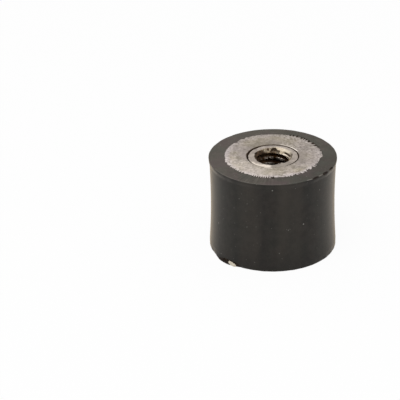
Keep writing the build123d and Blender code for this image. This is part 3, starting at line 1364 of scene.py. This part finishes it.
def tongue(path, width, thickness, rows, columns):
    """Oval carried along the parabola through three points.

    The middle line is the quadratic through them. The half width is the sine of half a turn over
    the length, raised to 0.35 so that both ends stay broad, and two waves make it ragged. What
    would be under the floor is laid flat on it.
    """
    t = np.linspace(0.02, 0.98, rows)[:, None]
    a, b, c = path
    line = a * (1 - t) * (1 - 2 * t) + 4 * b * t * (1 - t) + c * t * (2 * t - 1)
    along = unit(np.gradient(line, axis=0))
    outward = unit(line * [1, 1, 0]) + [0, 0, 0.6]
    side = unit(np.cross(along, outward))
    normal = np.cross(side, along)
    angles = angles_round(columns)[None, :, None]
    ragged = 1 + 0.14 * np.sin(19 * t) + 0.10 * np.sin(37 * t + 1)
    swell = (np.sin(math.pi * t) ** 0.35 * ragged)[:, None]
    across = side[:, None] * np.cos(angles) * width * swell
    through = normal[:, None] * np.sin(angles) * thickness * swell
    points = line[:, None] + across + through
    points[..., 2] = rounded_maximum(points[..., 2], 0, 0.03 * mm)
    return points


sliver_points = tongue(sliver_path, sliver_width, sliver_thickness, 40, 24)
print("sliver grid:", sliver_points.shape)

# %% [markdown]
# Dried rubber
#
# Torn so thin, rubber bleaches and goes chalky. It could share the rubber's material with a mark
# that pales it, but it has nothing of that material's gloss or streaks, so a short one of its
# own is plainer: one fibrous noise for colour, roughness and relief.

# %% Sliver finish
def sliver_finish(here):
    """Principled sockets of the dried sliver."""
    fibres = here.cloudy(6.0, 4.0, 0.6)
    return {
        "Base Color": here.coats(
            display(172, 163, 146),
            (fibres.step(0.3, 0.7), (216, 208, 190)),
        ),
        "Roughness": 0.75 + fibres * 0.1,
        "Normal": here.bumped(fibres, 0.03 * mm),
    }


dried_flash = finished("dried_flash", sliver_finish)
piece("torn_sliver", sliver_points, False, dried_flash, "rubber")

# %% [markdown]
# Floor and surroundings
#
# The picture is a product shot on white. A studio sweeps white paper up behind the part; a flat
# floor and a white world are simpler and look the same. The floor carries the part's soft
# shadow. The world is white for the camera and for reflections, so that the black wall gets its
# pale edges, and a plain soft light for everything else.

# %% Floor and world
floor_radius = 2.0
seen_white = 0.94  # share of white that camera rays find on the floor
mirrored_white = 0.5  # and the share that reflections find
soft_level = 0.60  # the world's light on the part


def make_floor():
    """Round floor at the height of the lower end face, seen from above only.

    Camera rays find it nearly all white, with a trace of the shadow. Glossy and transmission
    rays find it half white, so that the wall's foot reflects the shadow it stands in.
    """
    angles = angles_round(64)
    circle = [floor_radius * np.cos(angles), floor_radius * np.sin(angles), 0 * angles]
    rim = np.stack(circle, axis=-1)
    mesh = bpy.data.meshes.new("floor")
    mesh.from_pydata(rim.tolist(), [], [list(range(len(rim)))])
    floor = in_scene("floor", mesh)
    material = bpy.data.materials.new("studio_floor")
    graph = Graph(material)
    camera_ray, glossy_ray, transmission_ray = graph.ray_kinds()
    lit = graph.node("ShaderNodeBsdfDiffuse", {}, {"Color": (0.9, 0.9, 0.9, 1)})
    white = graph.node("ShaderNodeEmission", {}, {"Color": (1, 1, 1, 1), "Strength": 1.0})
    share = camera_ray * seen_white + (glossy_ray + transmission_ray) * mirrored_white
    top = graph.node("ShaderNodeMixShader", {}, {0: share, 1: lit, 2: white})
    clear = graph.node("ShaderNodeBsdfTransparent")
    back = graph.node("ShaderNodeNewGeometry", output="Backfacing")
    graph.finish(graph.node("ShaderNodeMixShader", {}, {0: back, 1: top, 2: clear}))
    mesh.materials.append(material)
    floor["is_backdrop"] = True


make_floor()
world = bpy.data.worlds.new("studio")
bpy.context.scene.world = world
sky = Graph(world)
seen = sky.node("ShaderNodeClamp", {}, {0: sum(sky.ray_kinds())})
strength = soft_level + seen * (1 - soft_level)
background = sky.node("ShaderNodeBackground", {}, {"Color": (1, 1, 1, 1), "Strength": strength})
sky.finish(background, "ShaderNodeOutputWorld")
print("floor", floor_radius, "m in radius; soft light", soft_level)

# %% [markdown]
# One large lamp
#
# The soft world alone would light the part from nowhere, and a sun lamp would give it a hard
# shadow. So one round area lamp, nearly as wide as it is far, stands above and in front on the
# left, as a softbox does.

# %% Lamp
lamp_from = Vector((-0.25, -0.46, 0.85)).normalized()
lamp_distance = 0.50
lamp_size = 0.44
lamp_power = 1.25
lamp_data = bpy.data.lights.new("softbox", "AREA")
lamp_data.shape = "DISK"
lamp_data.size = lamp_size
lamp_data.energy = lamp_power
lamp = in_scene("softbox", lamp_data)
lamp.location = lamp_from * lamp_distance
lamp.rotation_euler = lamp_from.to_track_quat("Z", "Y").to_euler()
print("lamp of", lamp_power, "W at", [round(c, 2) for c in lamp.location], "m")

# %% [markdown]
# The camera
#
# The camera stands where the photo was taken from. It could be aimed by eye, but the outlines
# of the two rims, the disc and the bush fix it: about 27 degrees above the part, a long lens,
# and the part right of the middle. Its pitch, its roll, the way to the upper face's centre and
# the focal length say all of that.

# %% Camera
camera_pitch = math.radians(27.26)
camera_roll = math.radians(-1.21)
focal_pixels = 1665.9  # in a picture 400 pixels wide
picture_width = 400
target = Vector((11.28, 6.84, 258.57)) * mm  # upper face's centre: right, up, ahead of the lens

level_right = Vector((1, 0, 0))
ahead = Vector((0, math.cos(camera_pitch), -math.sin(camera_pitch)))
level_up = Vector((0, math.sin(camera_pitch), math.cos(camera_pitch)))
right = math.cos(camera_roll) * level_right + math.sin(camera_roll) * level_up
up = -math.sin(camera_roll) * level_right + math.cos(camera_roll) * level_up
upper_centre = Vector((0, 0, body_height))

camera_data = bpy.data.cameras.new("camera")
camera_data.sensor_width = 36
camera_data.lens = focal_pixels / picture_width * camera_data.sensor_width
camera_data.clip_start = 0.01
camera_data.clip_end = 10
camera = in_scene("camera", camera_data)
camera.location = upper_centre - target.x * right - target.y * up - target.z * ahead
camera.rotation_mode = "QUATERNION"
camera.rotation_quaternion = Matrix((right, up, -ahead)).transposed().to_quaternion()
bpy.context.scene.camera = camera
bpy.context.scene.view_settings.view_transform = "Standard"
camera_place = [round(1000 * c) for c in camera.location]
print("lens", round(camera_data.lens, 1), "mm; camera at", camera_place, "mm")

# %% [markdown]
# The visual model's size
#
# The visual model has to keep to the size of the solids, so its box is measured and printed,
# as the solids' box was at the start.

# %% Measure the visual model's size
seen_low, seen_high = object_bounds()
print("visual size in mm:", [in_mm(side) for side in seen_high - seen_low])
